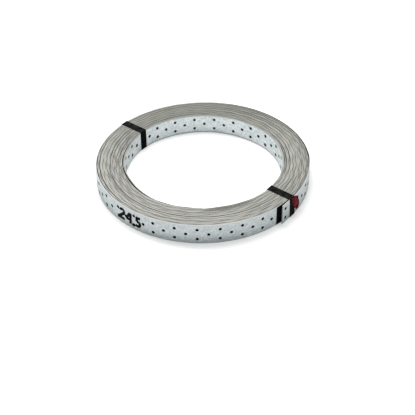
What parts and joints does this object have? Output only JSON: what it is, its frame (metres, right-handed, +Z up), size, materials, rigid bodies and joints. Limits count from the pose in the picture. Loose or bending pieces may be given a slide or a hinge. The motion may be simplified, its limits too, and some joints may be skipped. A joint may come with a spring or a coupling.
{
  "type": "coil of perforated steel strap",
  "caption": "Coil of galvanised perforated steel strap for bracing timber frames, lying flat, its turns held together by flat black plastic ties.",
  "frame": {"origin": "on the floor under the centre of the coil, which is the lowest point of the ties' lower runs", "axes": "+Z up along the coil's axis; the picture looks along +Y with +X to the right"},
  "size_m": [0.4016, 0.4016, 0.0412],
  "materials": {
    "galvanised_steel": "hot-dip zinc, satin, with faint streaks along the strap",
    "black_plastic": "matt strapping with a fine pressed pattern"
  },
  "bodies": {
    "root": {"strap_coil": "galvanised_steel", "rear_tie": "black_plastic", "front_tie": "black_plastic"}
  },
  "joints": []
}
